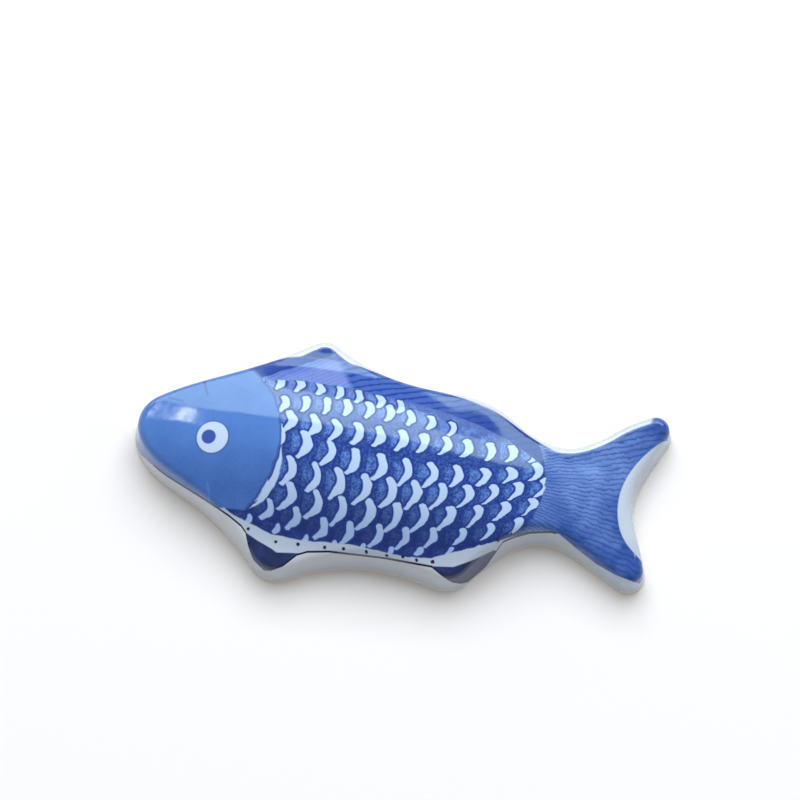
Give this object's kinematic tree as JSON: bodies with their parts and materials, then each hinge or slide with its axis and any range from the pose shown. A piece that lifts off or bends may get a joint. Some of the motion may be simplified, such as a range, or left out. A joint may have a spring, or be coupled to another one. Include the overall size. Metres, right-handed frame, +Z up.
{
  "type": "chopstick rest",
  "caption": "Fish-shaped porcelain chopstick rest lying flat, with a low domed body, drafted white walls and blue scale, fin and tail print under clear glaze.",
  "frame": {"origin": "centre of the outline, on the flat foot that the rest lies on", "axes": "+X from the head to the tail, +Y towards the back fin, +Z up out of the table"},
  "size_m": [0.071, 0.033, 0.012],
  "materials": {
    "bisque": "unglazed matt",
    "white_glaze": "gloss glaze",
    "blue_wash": "gloss glaze over print",
    "deep_blue": "gloss glaze over print",
    "navy": "gloss glaze over print"
  },
  "bodies": {
    "root": {"porcelain_body": "bisque", "glaze_coat": "white_glaze", "head_print": "blue_wash", "pupil_print": "blue_wash", "scale_print": "deep_blue", "dorsal_fin_print": "blue_wash", "tail_fin_print": "blue_wash", "pectoral_fin_print": "navy", "anal_fin_print": "navy", "belly_line_print": "navy"}
  },
  "joints": []
}
